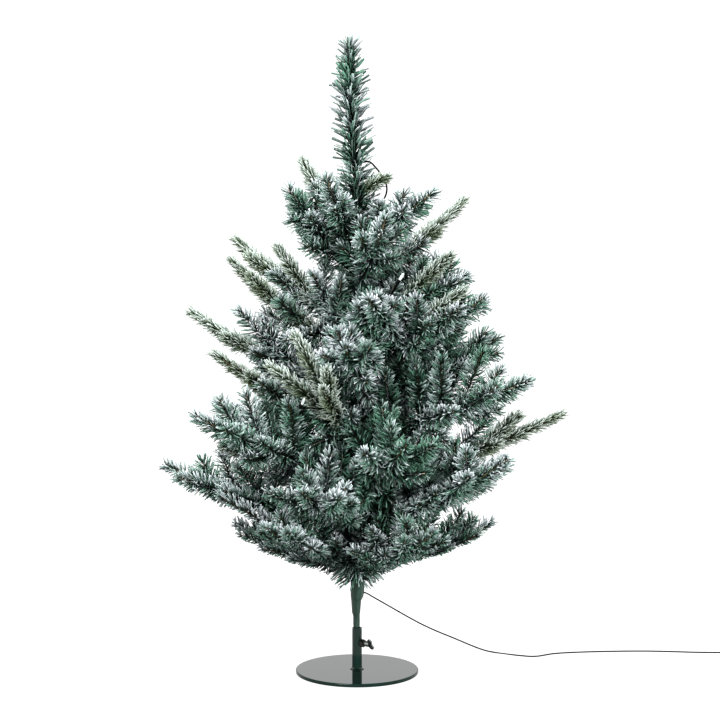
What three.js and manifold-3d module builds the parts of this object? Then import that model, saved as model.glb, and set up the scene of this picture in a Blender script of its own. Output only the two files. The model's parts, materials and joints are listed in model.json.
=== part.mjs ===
// Artificial tabletop tree: a steel plate stand with a clamped socket, a wrapped pole,
// hand-bent branches of wire and needles, and a light string with a battery box.
// Millimetres, +Z up, +X to the right, +Y to the back. The origin is the centre of the
// base plate's underside.
import * as THREE from "three";
import { mergeVertices } from "three/addons/utils/BufferGeometryUtils.js";
import Module from "manifold-3d";

const wasm = await Module();
wasm.setup();

// ---- driving dimensions ----
const GAP = 0.3;                       // clearance left where two pieces touch
const TREE_HEIGHT = 898;

const PLATE = { radius: 87.3, thickness: 5, edge: 1.2 };
const SOCKET = { outer: 7.0, bore: 5.6, top: 64.5 };
const COLLAR = { radius: 10, height: 2.4 };
const CLAMP = { azimuth: -35, height: 43, shank: 2.3, nutWide: 10, nutThick: 5 };
const WING = { near: 17.5, far: 27.5, span: 8.5, thick: 2.4, tilt: 32 };

const POLE = { outer: 3.6, bore: 2.8, top: 688 };
const PLUG = { flangeThick: 3, spigot: 2.5, spigotLong: 14 };
const WRAP = { trunk: 6.5, bulge: 8.8, foot: 4.6, top: 690 };
const LEADER = { lean: -10, wire: 2.0, brush: 8.5 };

const KNUCKLE = 2.2;                   // ball at the root of a branch wire
const HINGE_RADIUS = WRAP.trunk + GAP + KNUCKLE;
const BEND = 20;                       // degrees that a branch curves upward
const WIRE = 1.6;
const BRUSH = { stem: 6.8, twig: 6.2 };
const TWIG = { spread: 30, share: 0.42, longest: 95, pairStarts: [0.34, 0.56], shortStart: [0.4] };
const SHORT_BRANCH = 150;              // below this length a branch has one pair of twigs

const CORD = { radius: 1.0, exitHeight: 113, exitAzimuth: 20 };
const COIL = { x: 582, y: 125, radius: 11.5, width: 7.4, height: 4.3 };
const BOX = { wide: 50, long: 72, high: 20, wall: 1.8, control: 14, stub: 4 };
const CELL = { radius: 7.1, length: 50 };

// Branches by tier: the height of the tier on the trunk, then for each branch its compass
// direction in degrees, its reach from the trunk's axis and the height of its tip.
const TIERS = [
  { root: 152, branches: [
    [15, 207, 209], [84, 195, 215], [159, 195, 206], [231, 200, 238], [303, 190, 230]] },
  { root: 215, branches: [
    [180, 278, 302], [252, 235, 295], [324, 255, 331], [36, 240, 305], [111, 235, 308]] },
  { root: 280, branches: [
    [0, 296, 375], [72, 225, 355], [144, 235, 370], [216, 272, 390], [288, 215, 355]] },
  { root: 345, branches: [
    [340, 254, 430], [52, 205, 440], [124, 205, 440], [196, 209, 465], [256, 185, 425]] },
  { root: 405, branches: [[172, 245, 518], [265, 168, 480], [8, 208, 480], [90, 170, 490]] },
  { root: 460, branches: [[190, 180, 593], [282, 150, 545], [335, 196, 541], [65, 160, 560]] },
  { root: 510, branches: [[352, 156, 571], [80, 130, 595], [165, 183, 620]] },
  { root: 562, branches: [[25, 172, 674], [195, 99, 691], [290, 115, 650]] },
  { root: 620, branches: [[330, 123, 684], [150, 90, 729], [240, 85, 705]] },
];
const STAGGER = [0, 10, -8, 8, -6];    // root of each branch of a tier above or below its tier

// The light string's wire, and its direction at each tier, midway between two branches.
const STRING_RADIUS = 0.8;
const STRING_AZIMUTHS = [51, 72, 108, 160, 218, 226, 258, 242, 285];

// ---- materials ----
const paint = (color, roughness, metalness = 0) =>
  new THREE.MeshStandardMaterial({ color, roughness, metalness });
const greenPaint = paint("#12312b", 0.18, 0.1);
const blackSteel = paint("#1a1d1c", 0.5, 0.6);
const zinc = paint("#8f9492", 0.35, 0.9);
const poleSteel = paint("#23332d", 0.45, 0.5);
const wrapFilm = paint("#2c443a", 0.45);
const needles = paint("#4a6a60", 0.8);
const wireGreen = paint("#141c18", 0.45);
const boxPlastic = paint("#1d2321", 0.5);
const switchPlastic = paint("#5b605d", 0.5);
const cellJacket = paint("#77808a", 0.4, 0.3);
const springSteel = paint("#b5b8b8", 0.3, 1.0);
const laminate = paint("#3c5a34", 0.6);

// ---- geometry helpers ----
const radians = THREE.MathUtils.degToRad;

function polar(radius, azimuth, z) {
  const a = radians(azimuth);
  return new THREE.Vector3(radius * Math.cos(a), radius * Math.sin(a), z);
}

function toManifold(geometry) {
  const plain = geometry.clone();
  plain.deleteAttribute("normal");
  plain.deleteAttribute("uv");
  const merged = mergeVertices(plain, 1e-4);
  return new wasm.Manifold(new wasm.Mesh({
    numProp: 3,
    vertProperties: new Float32Array(merged.attributes.position.array),
    triVerts: new Uint32Array(merged.index.array),
  }));
}

function toGeometry(manifold) {
  const mesh = manifold.getMesh();
  const geometry = new THREE.BufferGeometry();
  geometry.setAttribute("position", new THREE.BufferAttribute(mesh.vertProperties, 3));
  geometry.setIndex(new THREE.BufferAttribute(mesh.triVerts, 1));
  const flat = geometry.toNonIndexed();
  flat.computeVertexNormals();
  return flat;
}

function union(geometries) {
  return toGeometry(geometries.map(toManifold).reduce((sum, next) => sum.add(next)));
}

function subtract(geometry, cutters) {
  const solid = toManifold(geometry);
  return toGeometry(cutters.map(toManifold).reduce((rest, cutter) => rest.subtract(cutter), solid));
}

function lathe(profile, segments) {
  const points = profile.map(([radius, z]) => new THREE.Vector2(radius, z));
  return new THREE.LatheGeometry(points, segments).rotateX(Math.PI / 2);
}

function ring(inner, outer, bottom, top, segments) {
  return lathe([[inner, bottom], [outer, bottom], [outer, top], [inner, top], [inner, bottom]], segments);
}

function rod(radius, from, to, segments) {
  // A cylinder along +X from x = from to x = to.
  return new THREE.CylinderGeometry(radius, radius, to - from, segments)
    .rotateZ(-Math.PI / 2)
    .translate((from + to) / 2, 0, 0);
}

function box(x0, x1, y0, y1, z0, z1) {
  return new THREE.BoxGeometry(x1 - x0, y1 - y0, z1 - z0)
    .translate((x0 + x1) / 2, (y0 + y1) / 2, (z0 + z1) / 2);
}

function sweepSolid(stations, sides) {
  // A closed solid through rings of varying radius. Each station has a centre, the sweep's
  // tangent, a normal that points to the top of the ring, and a radius.
  const positions = [];
  for (const { centre, tangent, normal, radius } of stations) {
    const lateral = new THREE.Vector3().crossVectors(normal, tangent);
    for (let i = 0; i < sides; i++) {
      const angle = (2 * Math.PI * i) / sides;
      const vertex = centre.clone()
        .addScaledVector(lateral, radius * Math.cos(angle))
        .addScaledVector(normal, radius * Math.sin(angle));
      positions.push(vertex.x, vertex.y, vertex.z);
    }
  }
  const index = [];
  for (let k = 0; k + 1 < stations.length; k++) {
    for (let i = 0; i < sides; i++) {
      const near = k * sides + i;
      const nearNext = k * sides + ((i + 1) % sides);
      index.push(near, nearNext, nearNext + sides, near, nearNext + sides, near + sides);
    }
  }
  const last = (stations.length - 1) * sides;
  for (let i = 1; i + 1 < sides; i++) {
    index.push(0, i + 1, i, last, last + i, last + i + 1);
  }
  const geometry = new THREE.BufferGeometry();
  geometry.setAttribute("position", new THREE.Float32BufferAttribute(positions, 3));
  geometry.setIndex(index);
  return geometry;
}

function tube(curve, radius, sides, steps) {
  // A round section swept along a curve, as a closed solid.
  const section = new THREE.Shape();
  for (let i = 0; i < sides; i++) {
    const angle = (2 * Math.PI * i) / sides;
    const [x, y] = [radius * Math.cos(angle), radius * Math.sin(angle)];
    if (i === 0) section.moveTo(x, y);
    else section.lineTo(x, y);
  }
  section.closePath();
  return new THREE.ExtrudeGeometry(section, { steps, extrudePath: curve });
}

function mesh(name, geometry, material) {
  const part = new THREE.Mesh(geometry, material);
  part.name = name;
  return part;
}

// ---- stand ----
function basePlate() {
  const { radius, thickness, edge } = PLATE;
  const profile = [
    [0, 0], [radius - edge, 0], [radius, edge],
    [radius, thickness - edge], [radius - edge, thickness], [0, thickness],
  ];
  return mesh("base_plate", lathe(profile, 56), greenPaint);
}

function socketCollar() {
  const bottom = PLATE.thickness + GAP;
  const geometry = ring(SOCKET.outer + GAP, COLLAR.radius, bottom, bottom + COLLAR.height, 24);
  return mesh("socket_collar", geometry, greenPaint);
}

function socketTube() {
  const wall = ring(SOCKET.bore, SOCKET.outer, PLATE.thickness + GAP, SOCKET.top, 32);
  const screwHole = rod(CLAMP.shank + GAP, 0, SOCKET.outer + 2, 16)
    .rotateZ(radians(CLAMP.azimuth))
    .translate(0, 0, CLAMP.height);
  return mesh("socket_tube", subtract(wall, [screwHole]), greenPaint);
}

function clampGroup() {
  // Parts of the clamp, on the screw's own axis, local +X pointing away from the pole.
  const group = new THREE.Group();
  group.name = "clamp";
  group.position.set(0, 0, CLAMP.height);
  group.rotation.z = radians(CLAMP.azimuth);
  group.add(weldNut(), thumbScrew());
  return group;
}

function weldNut() {
  const near = SOCKET.outer + GAP;
  const hex = rod(CLAMP.nutWide / Math.sqrt(3), near, near + CLAMP.nutThick, 6);
  const bore = rod(CLAMP.shank + GAP, near - 1, near + CLAMP.nutThick + 1, 16);
  return mesh("weld_nut", subtract(hex, [bore]), blackSteel);
}

function thumbScrew() {
  const shank = rod(CLAMP.shank, POLE.outer + GAP, WING.near + 3, 16);
  const hub = rod(4, WING.near - 1.5, WING.near + 4, 16);
  const outline = new THREE.Shape([
    new THREE.Vector2(WING.near, 0),
    new THREE.Vector2(WING.near + 1, -3.5),
    new THREE.Vector2(WING.far - 6, -WING.span),
    new THREE.Vector2(WING.far - 2.5, -WING.span - 0.5),
    new THREE.Vector2(WING.far, -WING.span + 2.5),
    new THREE.Vector2(WING.far - 2, 0),
    new THREE.Vector2(WING.far, WING.span - 2.5),
    new THREE.Vector2(WING.far - 2.5, WING.span + 0.5),
    new THREE.Vector2(WING.far - 6, WING.span),
    new THREE.Vector2(WING.near + 1, 3.5),
  ]);
  const wings = new THREE.ExtrudeGeometry(outline, { depth: WING.thick, bevelEnabled: false })
    .translate(0, 0, -WING.thick / 2)
    .rotateX(radians(90 + WING.tilt));
  return mesh("thumb_screw", union([shank, hub, wings]), zinc);
}

// ---- trunk ----
function polePlug() {
  const bottom = PLATE.thickness + GAP;
  const shoulder = bottom + PLUG.flangeThick;
  const profile = [
    [0, bottom], [POLE.outer, bottom], [POLE.outer, shoulder],
    [PLUG.spigot, shoulder], [PLUG.spigot, shoulder + PLUG.spigotLong], [0, shoulder + PLUG.spigotLong],
  ];
  return mesh("pole_plug", lathe(profile, 24), boxPlastic);
}

function trunkPole() {
  const bottom = PLATE.thickness + PLUG.flangeThick + 2 * GAP;
  return mesh("trunk_pole", ring(POLE.bore, POLE.outer, bottom, POLE.top, 20), poleSteel);
}

function trunkWrap() {
  // The film wound around the pole, thickest where the first branches and the lead start.
  const inner = POLE.outer + GAP;
  const foot = SOCKET.top + 1.5;
  const profile = [
    [inner, foot], [WRAP.foot, foot], [WRAP.foot + 0.8, foot + 18],
    [WRAP.bulge - 0.6, CORD.exitHeight - 12], [WRAP.bulge, CORD.exitHeight],
    [WRAP.trunk, TIERS[0].root - 12], [WRAP.trunk, WRAP.top], [inner, WRAP.top], [inner, foot],
  ];
  return mesh("trunk_wrap", lathe(profile, 24), wrapFilm);
}

function leader() {
  const bottom = WRAP.top + GAP;
  const height = TREE_HEIGHT - bottom;
  const profile = [
    [0, LEADER.wire], [0.02, LEADER.wire], [0.1, LEADER.brush],
    [0.5, LEADER.brush], [0.85, LEADER.brush * 0.7], [1, 1.2],
  ];
  const stations = profile.map(([share, radius]) => ({
    centre: new THREE.Vector3(LEADER.lean * share, 0, bottom + height * share),
    tangent: new THREE.Vector3(0, 0, 1),
    normal: new THREE.Vector3(0, 1, 0),
    radius,
  }));
  return mesh("leader", sweepSolid(stations, 8), needles);
}

// ---- branches ----
function branchArc(reach, rise) {
  // The arc of a branch wire in its own vertical plane, from its hinge to its tip.
  const chord = Math.hypot(reach, rise);
  const bend = radians(BEND);
  const length = (chord * bend / 2) / Math.sin(bend / 2);
  const start = Math.atan2(rise, reach) - bend / 2;
  return { length, bend, start };
}

function arcPoint({ length, bend, start }, along, lateral = 0) {
  // The centre, the tangent and the upward normal of the branch sheet at a distance along
  // the wire and a distance sideways from it.
  const angle = start + (bend * along) / length;
  const radius = length / bend;
  return {
    centre: new THREE.Vector3(
      radius * (Math.sin(angle) - Math.sin(start)),
      lateral,
      radius * (Math.cos(start) - Math.cos(angle)),
    ),
    tangent: new THREE.Vector3(Math.cos(angle), 0, Math.sin(angle)),
    normal: new THREE.Vector3(-Math.sin(angle), 0, Math.cos(angle)),
  };
}

function stemSolid(arc) {
  const { length } = arc;
  const profile = [
    [-1.8, 1.0], [0, KNUCKLE], [4, WIRE], [0.3 * length, WIRE],
    [0.45 * length, BRUSH.stem], [0.8 * length, BRUSH.stem], [length, 1.0],
  ];
  return sweepSolid(profile.map(([along, radius]) => ({ ...arcPoint(arc, along), radius })), 5);
}

function twigSolid(arc, start, long, side) {
  const spread = radians(TWIG.spread);
  const profile = [[0, 1.4], [0.25, BRUSH.twig], [0.7, BRUSH.twig], [1, 1.0]];
  const stations = profile.map(([share, radius]) => {
    const along = start + share * long * Math.cos(spread);
    const station = arcPoint(arc, along, side * share * long * Math.sin(spread));
    const tangent = station.tangent.clone().multiplyScalar(Math.cos(spread));
    tangent.y += side * Math.sin(spread);
    return { ...station, tangent, radius };
  });
  return sweepSolid(stations, 4);
}

function branch(name, root, [azimuth, reach, tip]) {
  const arc = branchArc(reach - HINGE_RADIUS, tip - root);
  const starts = arc.length < SHORT_BRANCH ? TWIG.shortStart : TWIG.pairStarts;
  const long = Math.min(TWIG.longest, TWIG.share * arc.length);
  const solids = [stemSolid(arc)];
  for (const start of starts) {
    for (const side of [-1, 1]) {
      solids.push(twigSolid(arc, (start + 0.03 * side) * arc.length, long, side));
    }
  }
  const group = new THREE.Group();
  group.name = `${name}_root`;
  group.position.copy(polar(HINGE_RADIUS, azimuth, root));
  group.rotation.z = radians(azimuth);
  group.add(mesh(name, union(solids), needles));
  return group;
}

function branches() {
  const group = new THREE.Group();
  group.name = "branches";
  TIERS.forEach(({ root, branches: rows }, tier) => {
    rows.forEach((row, i) => {
      group.add(branch(`branch_${tier + 1}${"abcde"[i]}`, root + STAGGER[i], row));
    });
  });
  return group;
}

// ---- light string and lead ----
function cordExit(radius) {
  return polar(radius, CORD.exitAzimuth, CORD.exitHeight);
}

class WindingCurve extends THREE.Curve {
  // A smooth curve whose points are given as radius, azimuth and height.
  constructor(points) {
    super();
    this.track = new THREE.CatmullRomCurve3(points);
  }

  getPoint(t) {
    const { x: radius, y: azimuth, z } = this.track.getPoint(t);
    return polar(radius, azimuth, z);
  }
}

function lightString() {
  const radius = WRAP.trunk + GAP + STRING_RADIUS;
  const points = [
    new THREE.Vector3(WRAP.bulge + GAP + STRING_RADIUS, CORD.exitAzimuth, CORD.exitHeight + 6),
    new THREE.Vector3(radius + 0.8, CORD.exitAzimuth + 16, TIERS[0].root - 14),
  ];
  TIERS.forEach(({ root }, i) => points.push(new THREE.Vector3(radius, STRING_AZIMUTHS[i], root)));
  points.push(new THREE.Vector3(radius, 300, WRAP.top - 12));
  return mesh("light_string", tube(new WindingCurve(points), STRING_RADIUS, 6, 60), wireGreen);
}

function leadPoints() {
  // The lead falls in a shallow bow behind the plate, then wanders over the floor.
  const floor = CORD.radius + 0.1;
  const ringFront = COIL.y - COIL.radius;
  return [
    cordExit(WRAP.bulge + GAP + 0.2),
    cordExit(WRAP.bulge + 5),
    new THREE.Vector3(33, 17, 99),
    new THREE.Vector3(94, 53, 57),
    new THREE.Vector3(144, 82, 29),
    new THREE.Vector3(181, 104, 9),
    new THREE.Vector3(204, 113, floor),
    new THREE.Vector3(241, 93, floor),
    new THREE.Vector3(264, 89, floor),
    new THREE.Vector3(296, 107, floor),
    new THREE.Vector3(351, 117, floor),
    new THREE.Vector3(430, 121, floor),
    new THREE.Vector3(510, ringFront + 1, floor),
    new THREE.Vector3(COIL.x - 12, ringFront, floor),
  ];
}

function leadCord() {
  const curve = new THREE.CatmullRomCurve3(leadPoints(), false, "centripetal");
  return mesh("lead_cord", tube(curve, CORD.radius, 8, 72), wireGreen);
}

function leadCoil() {
  const inner = COIL.radius - COIL.width / 2;
  const outer = COIL.radius + COIL.width / 2;
  const geometry = ring(inner, outer, 0.1, COIL.height, 28).translate(COIL.x, COIL.y, 0);
  return mesh("lead_coil", geometry, wireGreen);
}

function coilTie() {
  // A bent strip over the left side of the coil, open underneath.
  const wide = COIL.width / 2 + GAP + 0.6;
  const top = COIL.height + GAP;
  const arch = box(-wide, wide, -1.5, 1.5, 0.1, top + 0.6);
  const inside = box(-wide + 0.6, wide - 0.6, -2, 2, 0, top);
  const geometry = subtract(arch, [inside]).translate(COIL.x - COIL.radius, COIL.y, 0);
  return mesh("coil_tie", geometry, wireGreen);
}

// ---- battery box, lying on the floor with its lid up ----
function batteryBox() {
  const group = new THREE.Group();
  group.name = "battery_box";
  group.position.set(COIL.x + COIL.radius, COIL.y + 12.4 + BOX.stub, 0.1);
  group.add(batteryCase(), batteryCover(), batterySwitch());
  group.add(contactBoard(), contactPlate(), ...batteryCells());
  return group;
}

const LID = { top: BOX.high, thick: 1.6, front: BOX.control + BOX.wall };
const CELLS_FRONT = BOX.control + BOX.wall;

function batteryCase() {
  const half = BOX.wide / 2;
  const inner = half - BOX.wall;
  const shell = box(-half, half, 0, BOX.long, 0, BOX.high);
  const control = box(-inner, inner, BOX.wall, BOX.control, BOX.wall, BOX.high - BOX.wall);
  const bay = box(-inner, inner, CELLS_FRONT, BOX.long - BOX.wall, BOX.wall, BOX.high + 1);
  const passage = box(-4, 4, BOX.control - 1, CELLS_FRONT + 1, BOX.wall + 2, BOX.wall + 6);
  const mouth = box(
    -inner, inner, BOX.long - BOX.wall - 1, BOX.long + 1, BOX.high - LID.thick - GAP, BOX.high + 1);
  const groove = box(
    -inner - 0.9, inner + 0.9, CELLS_FRONT + 2, BOX.long + 1, BOX.high - 1.4, BOX.high - 0.4);
  const slot = box(-6, 6, 5, 9, BOX.high - BOX.wall - 1, BOX.high + 1);
  const stub = rod(2.5, -BOX.stub, 0.5, 16).rotateZ(Math.PI / 2).translate(0, 0, BOX.high * 0.35);
  const body = union([shell, stub]);
  const geometry = subtract(body, [control, bay, passage, mouth, groove, slot]);
  return mesh("battery_case", geometry, boxPlastic);
}

function batteryCover() {
  const inner = BOX.wide / 2 - BOX.wall - GAP;
  const back = BOX.long;
  const lid = box(-inner, inner, LID.front + GAP, back, BOX.high - LID.thick, BOX.high);
  const tongues = box(-inner - 0.7, inner + 0.7, LID.front + 2 + GAP, back, BOX.high - 1.2, BOX.high - 0.6);
  const grips = [0, 1, 2].map((i) =>
    box(-8, 8, back - 12 + 3 * i, back - 11 + 3 * i, BOX.high - 0.5, BOX.high + 0.6));
  return mesh("battery_cover", union([lid, tongues, ...grips]), boxPlastic);
}

function batterySwitch() {
  // The knob stands in the case's slot, and its foot slides under the slot's edges.
  const under = BOX.high - BOX.wall - GAP;
  const knob = box(-5.5, 0.5, 5.3, 8.7, under - 0.5, BOX.high + 1.4);
  const foot = box(-8, 3, 4, 10, under - 1.2, under);
  return mesh("battery_switch", union([knob, foot]), switchPlastic);
}

function contactBoard() {
  const inner = BOX.wide / 2 - BOX.wall - GAP;
  const front = CELLS_FRONT + GAP;
  return mesh("contact_board", box(-inner, inner, front, front + 1.2, BOX.wall + GAP, 16), laminate);
}

function contactPlate() {
  const inner = BOX.wide / 2 - BOX.wall - GAP;
  const back = BOX.long - BOX.wall - GAP;
  return mesh("contact_plate", box(-inner, inner, back - 0.5, back, BOX.wall + GAP, 15), springSteel);
}

function batteryCells() {
  const pitch = 2 * CELL.radius + GAP;
  const front = CELLS_FRONT + 1.2 + 2 * GAP;
  return [-1, 0, 1].map((i) => {
    const geometry = rod(CELL.radius, 0, CELL.length, 20)
      .rotateZ(Math.PI / 2)
      .translate(i * pitch, front, BOX.wall + GAP + CELL.radius);
    return mesh(`battery_cell_${i + 2}`, geometry, cellJacket);
  });
}

// ---- the whole tree ----
const tree = new THREE.Group();
tree.name = "tabletop_tree";
tree.add(basePlate(), socketCollar(), socketTube(), clampGroup());
tree.add(polePlug(), trunkPole(), trunkWrap(), leader(), branches());
tree.add(lightString(), leadCord(), leadCoil(), coilTie(), batteryBox());

export default tree;
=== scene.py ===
"""Looks of the frosted tabletop tree: needles, wrapped trunk, light string, lead and stand.

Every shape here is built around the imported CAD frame, in metres, +Z up. The branches are
rebuilt from their hinges and tips, so that the needles sit on the CAD wires.
"""

import json
import math

import bpy
import numpy as np
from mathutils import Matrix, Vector


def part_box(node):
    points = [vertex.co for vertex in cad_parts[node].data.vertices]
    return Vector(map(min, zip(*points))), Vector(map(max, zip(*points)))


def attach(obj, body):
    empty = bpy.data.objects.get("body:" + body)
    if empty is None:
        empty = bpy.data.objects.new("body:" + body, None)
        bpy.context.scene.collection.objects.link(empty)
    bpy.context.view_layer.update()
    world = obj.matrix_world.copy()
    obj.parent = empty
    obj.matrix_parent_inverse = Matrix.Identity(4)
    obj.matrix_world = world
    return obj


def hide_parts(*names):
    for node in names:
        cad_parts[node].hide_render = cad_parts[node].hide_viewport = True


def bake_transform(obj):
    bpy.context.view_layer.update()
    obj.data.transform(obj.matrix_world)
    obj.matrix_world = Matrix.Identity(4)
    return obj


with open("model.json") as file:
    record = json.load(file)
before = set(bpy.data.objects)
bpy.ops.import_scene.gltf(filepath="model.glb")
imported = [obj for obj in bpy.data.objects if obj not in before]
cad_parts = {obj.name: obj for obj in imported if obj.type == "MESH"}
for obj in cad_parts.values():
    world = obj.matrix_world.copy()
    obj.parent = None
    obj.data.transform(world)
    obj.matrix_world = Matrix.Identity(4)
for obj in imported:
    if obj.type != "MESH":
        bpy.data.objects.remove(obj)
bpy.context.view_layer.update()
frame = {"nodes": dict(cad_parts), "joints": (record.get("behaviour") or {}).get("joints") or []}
NODES = frame["nodes"]
MM = 0.001
SEED = 7

# ---- camera and room ----
CAMERA_AT = (0.0042, -2.6, 0.6575)
CAMERA_DOWN = math.radians(4.65)
CAMERA_LENS = 92.8
CAMERA_SENSOR = 36
FLOOR_RADIUS = 1.25
DOME_RADIUS = 14.0
ROOM_LIGHT = 0.15
FLOOR_GLOW = 0.82
# Name, place, point aimed at, side in metres, watts, and whether glossy surfaces mirror it.
LIGHTS = [
    ("key", (-1.3, -2.5, 2.0), (0, 0, 0.4), 1.4, 162, True),
    ("top", (0.2, 0.3, 3.2), (0, 0, 0.0), 2.2, 158, True),
    ("fill", (1.9, -2.4, 0.6), (0, 0, 0.3), 1.4, 130, False),
    ("back", (-0.6, 2.8, 1.9), (0, 0, 0.45), 1.6, 110, False),
]

# ---- lead: its points along the floor and its coil, as in the CAD ----
LEAD_DIAMETER = 2 * MM
LEAD_EXIT_RADII = (9.3 * MM, 13.8 * MM)
LEAD_EXIT_AZIMUTH = 20
LEAD_EXIT_HEIGHT = 0.113
LEAD_POINTS = [
    (0.033, 0.017, 0.099), (0.094, 0.053, 0.057), (0.144, 0.082, 0.029), (0.181, 0.104, 0.009),
    (0.204, 0.113, 0.0011), (0.241, 0.093, 0.0011), (0.264, 0.089, 0.0011), (0.296, 0.107, 0.0011),
    (0.351, 0.117, 0.0011), (0.430, 0.121, 0.0011), (0.510, 0.113, 0.0011), (0.5715, 0.112, 0.0011),
]
LEAD_STEPS = 900
COIL_AT = np.array([0.582, 0.125])
COIL_RADII = (14 * MM, 8.8 * MM)
COIL_TURNS = 5.2
COIL_LAYERS = (1.1 * MM, 3.15 * MM)
# From the coil into the battery box: share of the way, and height.
COIL_TAIL = [(0.3, 3.4 * MM), (0.66, 4.6 * MM), (0.92, 6.6 * MM), (1.0, 7.1 * MM)]

# ---- branches, as in the CAD ----
# A stem bends upward by this angle over its length, and its paired twigs spread by this angle from it.
BEND = math.radians(20)
SPREAD = math.radians(30)
TWIG_SHARE = 0.42
TWIG_LONGEST = 95 * MM
# Where the pairs start, as shares of the stem. A short branch has one pair.
PAIR_STARTS = (0.34, 0.56)
SHORT_START = (0.4,)
SHORT_BRANCH = 150 * MM
PAIR_STAGGER = 0.03

# ---- branches, as bent by hand ----
STEM_RADIUS = 1.5 * MM
TWIG_STEPS = 8
# Start along the stem, turn to the side and upward in degrees, and share of a twig's length.
LONG_PLAN = [
    (0.12, 44, 34, 0.75), (0.16, -42, 30, 0.8), (0.22, 25, -26, 0.75), (0.28, -30, -20, 0.75),
    (0.32, -20, 46, 0.75), (0.38, 34, 30, 0.8), (0.44, -32, 30, 0.75), (0.50, 14, -18, 0.7),
    (0.56, 6, 36, 0.65), (0.68, -16, 22, 0.5),
]
SHORT_PLAN = [(0.20, 38, 30, 0.7), (0.26, -40, 22, 0.75), (0.34, 15, -20, 0.8), (0.48, -16, 26, 0.7)]
# Lowest upward turn of the free twigs, and share of the length that the needles below the wire keep,
# by tier. Both keep the underside of the tree clear.
LOWEST_TURN = {"1": 4, "2": -10}
UNDER_NEEDLES = {"1": 0.3, "2": 0.8}
# Free twigs that start further out than this are left off the moulded branches.
OUTER_START = 0.3
# How far chance turns a free twig, sideways and upward, in degrees.
SIDE_CHANCE = 12
UP_CHANCE = 8
# Bends of the twigs, as shares of their length: upward, and by chance in any direction.
TWIG_LIFT = 0.2
TWIG_SWAY = 0.13
PAIR_SWAY = 0.06
# Twigs of the branches at the front are bent this much further apart.
FRONT_OPENING = 0.8
# Branches with shorter film twigs than most.
TWIG_SCALE = {
    "1a": 0.75, "1c": 0.75, "1d": 0.85, "1e": 0.85, "6b": 0.7, "6c": 0.85, "7c": 0.75,
    "8a": 0.45, "8b": 0.85, "9a": 0.8, "9b": 0.5, "9c": 0.65,
}
# Twigs bent up by hand: start along the stem, azimuth and elevation in degrees, and length.
RAISED_TWIGS = {
    "1d": [(0.30, -170, 31, 0.172)],
    "1e": [(0.30, -100, 34, 0.115), (0.30, -124, 22, 0.083), (0.10, -100, 55, 0.110)],
    "3a": [(0.40, -20, 44, 0.085)],
    "5a": [(0.35, -162, 48, 0.110), (0.30, -167, 55, 0.090)],
    "6c": [(0.30, -108, 24, 0.167)],
}
# Moulded tips bent up by hand, in the same form.
RAISED_TIPS = {
    "3a": [(0.55, -8, 41, 0.075)],
    "3d": [(0.50, -165, 9, 0.065)],
    "4e": [(0.60, -146, 60, 0.124), (0.70, -102, 57, 0.062), (0.50, -151, 36, 0.128)],
    "6c": [(0.30, -37, 37, 0.126)],
    "7a": [(0.30, -40, 37, 0.119)],
    "7c": [(0.30, -160, 55, 0.088)],
    "9a": [(0.22, -17, 31, 0.050)],
}

# ---- surfaces ----
# Noise scale and depth of the fine grain on metal, paint and plastic.
GRAIN_SCALE = 900
GRAIN_DEPTH = 0.2 * MM
# The needles' palette has a band for each of their colours, one above another.
# Up each band the colour darkens towards the root: painted shade near the wire.
UV_NAME = "OFBake"
BANDS = {"teal": 0, "deep": 1, "olive": 2, "wire": 3}
BAND_HEIGHT = 0.25
BAND_MARGIN = 0.02

# ---- needles ----
# Turn from one needle to the next around the wire.
GOLDEN_ANGLE = math.radians(137.5)
FEWEST_NEEDLES = 6
# How much chance changes a needle's place around the wire, its lean, its bend, its length and width.
AROUND_CHANCE = 0.4
LEAN_CHANCE = 0.17
BEND_CHANCE = 0.14
LENGTH_CHANCE = (0.84, 1.05)
WIDTH_CHANCE = (0.8, 1.2)
# A frosted needle is this much wider than a bare one.
FROST_WIDTH = 0.35
# A needle's three-sided cross-section, and the triangles over its three rings and two ends.
RING = np.array([[-0.5, -0.33], [0.5, -0.33], [0.0, 0.67]])
NEEDLE_TRIANGLES = np.array(
    [[k * 3 + i, k * 3 + (i + 1) % 3, (k + 1) * 3 + (i + 1) % 3] for k in (0, 1) for i in range(3)]
    + [[k * 3 + i, (k + 1) * 3 + (i + 1) % 3, (k + 1) * 3 + i] for k in (0, 1) for i in range(3)]
    + [[0, 2, 1], [6, 7, 8]])
# Width of a needle at its root, as a share of its middle.
ROOT_WIDTH = 0.8
# Kinds of needle. Density is per metre of wire. Lean is in degrees at the twig's start and end, taper the
# share of the length left at its end, blunt the width at a needle's tip as a share of its middle, bend in
# radians. Wire is the wire's radius, stem its colour, under the share of the length left on the
# underside, and patch the range of the frost on the needles' middles. Film needles are cut from ribbon.
FILM = {
    "bands": ("teal", "teal", "deep"), "density": 1900, "length": 22 * MM, "width": 1.75 * MM,
    "thick": 0.5 * MM, "lean": (66, 38), "taper": 0.62, "blunt": 0.95, "bend": 0.08, "wire": 0.9 * MM,
    "stem": "wire", "extra_frost": 0.0, "under": 1.0, "patch": (0.3, 1.15),
}
MOULDED = {
    "bands": ("olive",), "density": 3000, "length": 19 * MM, "width": 1.7 * MM,
    "thick": 0.8 * MM, "lean": (50, 26), "taper": 0.68, "blunt": 0.5, "bend": 0.12, "wire": 1.1 * MM,
    "stem": "olive", "extra_frost": 0.35, "under": 1.0, "patch": (0.25, 0.85),
}
# Inner needles are all of the darkest band: painted shade for the inside of the crown.
SHADED_INNER = {
    "bands": ("deep",), "density": 2300, "length": 28 * MM, "width": 1.5 * MM,
    "thick": 0.45 * MM, "lean": (72, 60), "taper": 1.0, "blunt": 0.95, "bend": 0.08, "wire": 1.2 * MM,
    "stem": "wire", "extra_frost": 0.0, "under": 1.0, "patch": (0.3, 1.15),
}

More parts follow.
